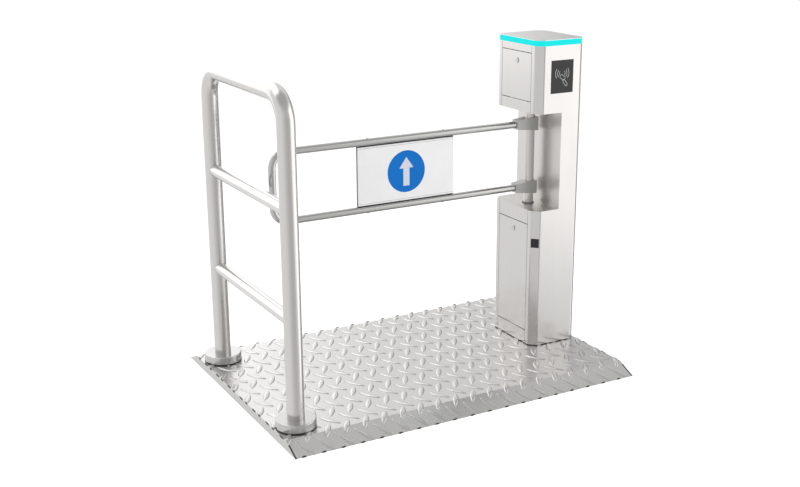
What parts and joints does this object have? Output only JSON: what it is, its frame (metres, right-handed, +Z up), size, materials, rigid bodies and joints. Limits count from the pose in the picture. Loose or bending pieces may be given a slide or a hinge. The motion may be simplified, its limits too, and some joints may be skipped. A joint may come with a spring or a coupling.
{
  "type": "swing barrier gate",
  "caption": "Swing barrier gate: slim stainless cabinet with a swinging U-tube arm and sign panel, facing a tube guard hoop across a ramped tread-plate base.",
  "frame": {"origin": "middle of the base's footprint, on the floor", "axes": "+X along the closed arm from the guard hoop to the cabinet, +Y along the lane away from the card reader's side, +Z up"},
  "size_m": [1.164, 0.844, 1.031],
  "materials": {
    "tread_plate": "pressed stainless tread plate, satin",
    "satin_steel": "satin brushed stainless steel",
    "plated_steel": "zinc plated sheet and tube",
    "fastener_steel": "plain steel fasteners",
    "bearing_steel": "ground steel",
    "housing_iron": "cast, machined on its faces",
    "lock_chrome": "bright plated",
    "motor_black": "satin black paint",
    "rubber": "matt black rubber",
    "light_acrylic": "translucent acrylic lit cyan from inside",
    "dark_acrylic": "smoked acrylic, polished",
    "sensor_plastic": "moulded black plastic",
    "white_panel": "white acrylic panel with a blue disc and an arrow",
    "circuit_board": "green solder mask"
  },
  "bodies": {
    "frame": {"floor_plate": "tread_plate", "left_side_plate": "satin_steel", "right_side_plate": "satin_steel", "guard_hoop": "satin_steel", "lower_cross_rail": "satin_steel", "upper_cross_rail": "satin_steel", "front_flange_cover": "satin_steel", "rear_flange_cover": "satin_steel", "cabinet_shell": "satin_steel", "notch_liner": "satin_steel", "upper_door_head": "satin_steel", "upper_door_sill": "satin_steel", "lower_door_head": "satin_steel", "lower_door_sill": "satin_steel", "top_lid": "satin_steel", "bearer_1": "plated_steel", "bearer_2": "plated_steel", "bearer_3": "plated_steel", "bearer_4": "plated_steel", "front_post_flange": "plated_steel", "rear_post_flange": "plated_steel", "cabinet_foot": "plated_steel", "motor_bracket": "plated_steel", "supply_tray": "plated_steel", "power_supply": "plated_steel", "flange_bolts": "fastener_steel", "flange_nuts": "fastener_steel", "anchor_bolts": "fastener_steel", "anchor_nuts": "fastener_steel", "hinge_pins": "fastener_steel", "lower_bearing": "bearing_steel", "upper_bearing": "bearing_steel", "lower_bearing_housing": "housing_iron", "upper_bearing_housing": "housing_iron", "gear_motor": "motor_black", "shaft_seal": "rubber", "stop_buffers": "rubber", "light_ring": "light_acrylic", "reader_window": "dark_acrylic", "sensor_window": "dark_acrylic", "sensor_barrel": "sensor_plastic", "light_board": "circuit_board", "reader_board": "circuit_board", "control_board": "circuit_board"},
    "arm": {"pivot_shaft": "satin_steel", "lower_clamp": "satin_steel", "upper_clamp": "satin_steel", "arm_tube": "satin_steel", "sign_panel": "white_panel", "clamp_grubs": "fastener_steel", "sign_screws": "fastener_steel", "drive_gear": "bearing_steel", "stop_finger": "plated_steel"},
    "pinion": {"drive_pinion": "bearing_steel"},
    "upper_door": {"upper_door": "satin_steel", "upper_lock_barrel": "lock_chrome"},
    "lower_door": {"lower_door": "satin_steel", "lower_lock_barrel": "lock_chrome"},
    "upper_lock": {"upper_lock_cam": "lock_chrome"},
    "lower_lock": {"lower_lock_cam": "lock_chrome"}
  },
  "joints": [
    {"name": "arm_swing", "type": "hinge", "parent": "frame", "child": "arm", "pos_m": [0.4585, 0, 0.6435], "axis": [0, 0, 1], "range_deg": [-90, 90]},
    {"name": "pinion_spin", "type": "hinge", "parent": "frame", "child": "pinion", "pos_m": [0.5155, 0, 0.458], "axis": [0, 0, 1], "range_deg": [-180, 180]},
    {"name": "upper_door_tilt", "type": "hinge", "parent": "frame", "child": "upper_door", "pos_m": [0.4061, 0, 0.8402], "axis": [0, -1, 0], "range_deg": [0, 90]},
    {"name": "lower_door_tilt", "type": "hinge", "parent": "frame", "child": "lower_door", "pos_m": [0.4061, 0, 0.0802], "axis": [0, -1, 0], "range_deg": [0, 90]},
    {"name": "upper_lock_turn", "type": "hinge", "parent": "upper_door", "child": "upper_lock", "pos_m": [0.402, 0, 0.959], "axis": [1, 0, 0], "range_deg": [0, 90]},
    {"name": "lower_lock_turn", "type": "hinge", "parent": "lower_door", "child": "lower_lock", "pos_m": [0.402, 0, 0.4095], "axis": [1, 0, 0], "range_deg": [0, 90]}
  ],
  "couplings": [
    {"joint": "pinion_spin", "follows": "arm_swing", "ratio": -2}
  ]
}
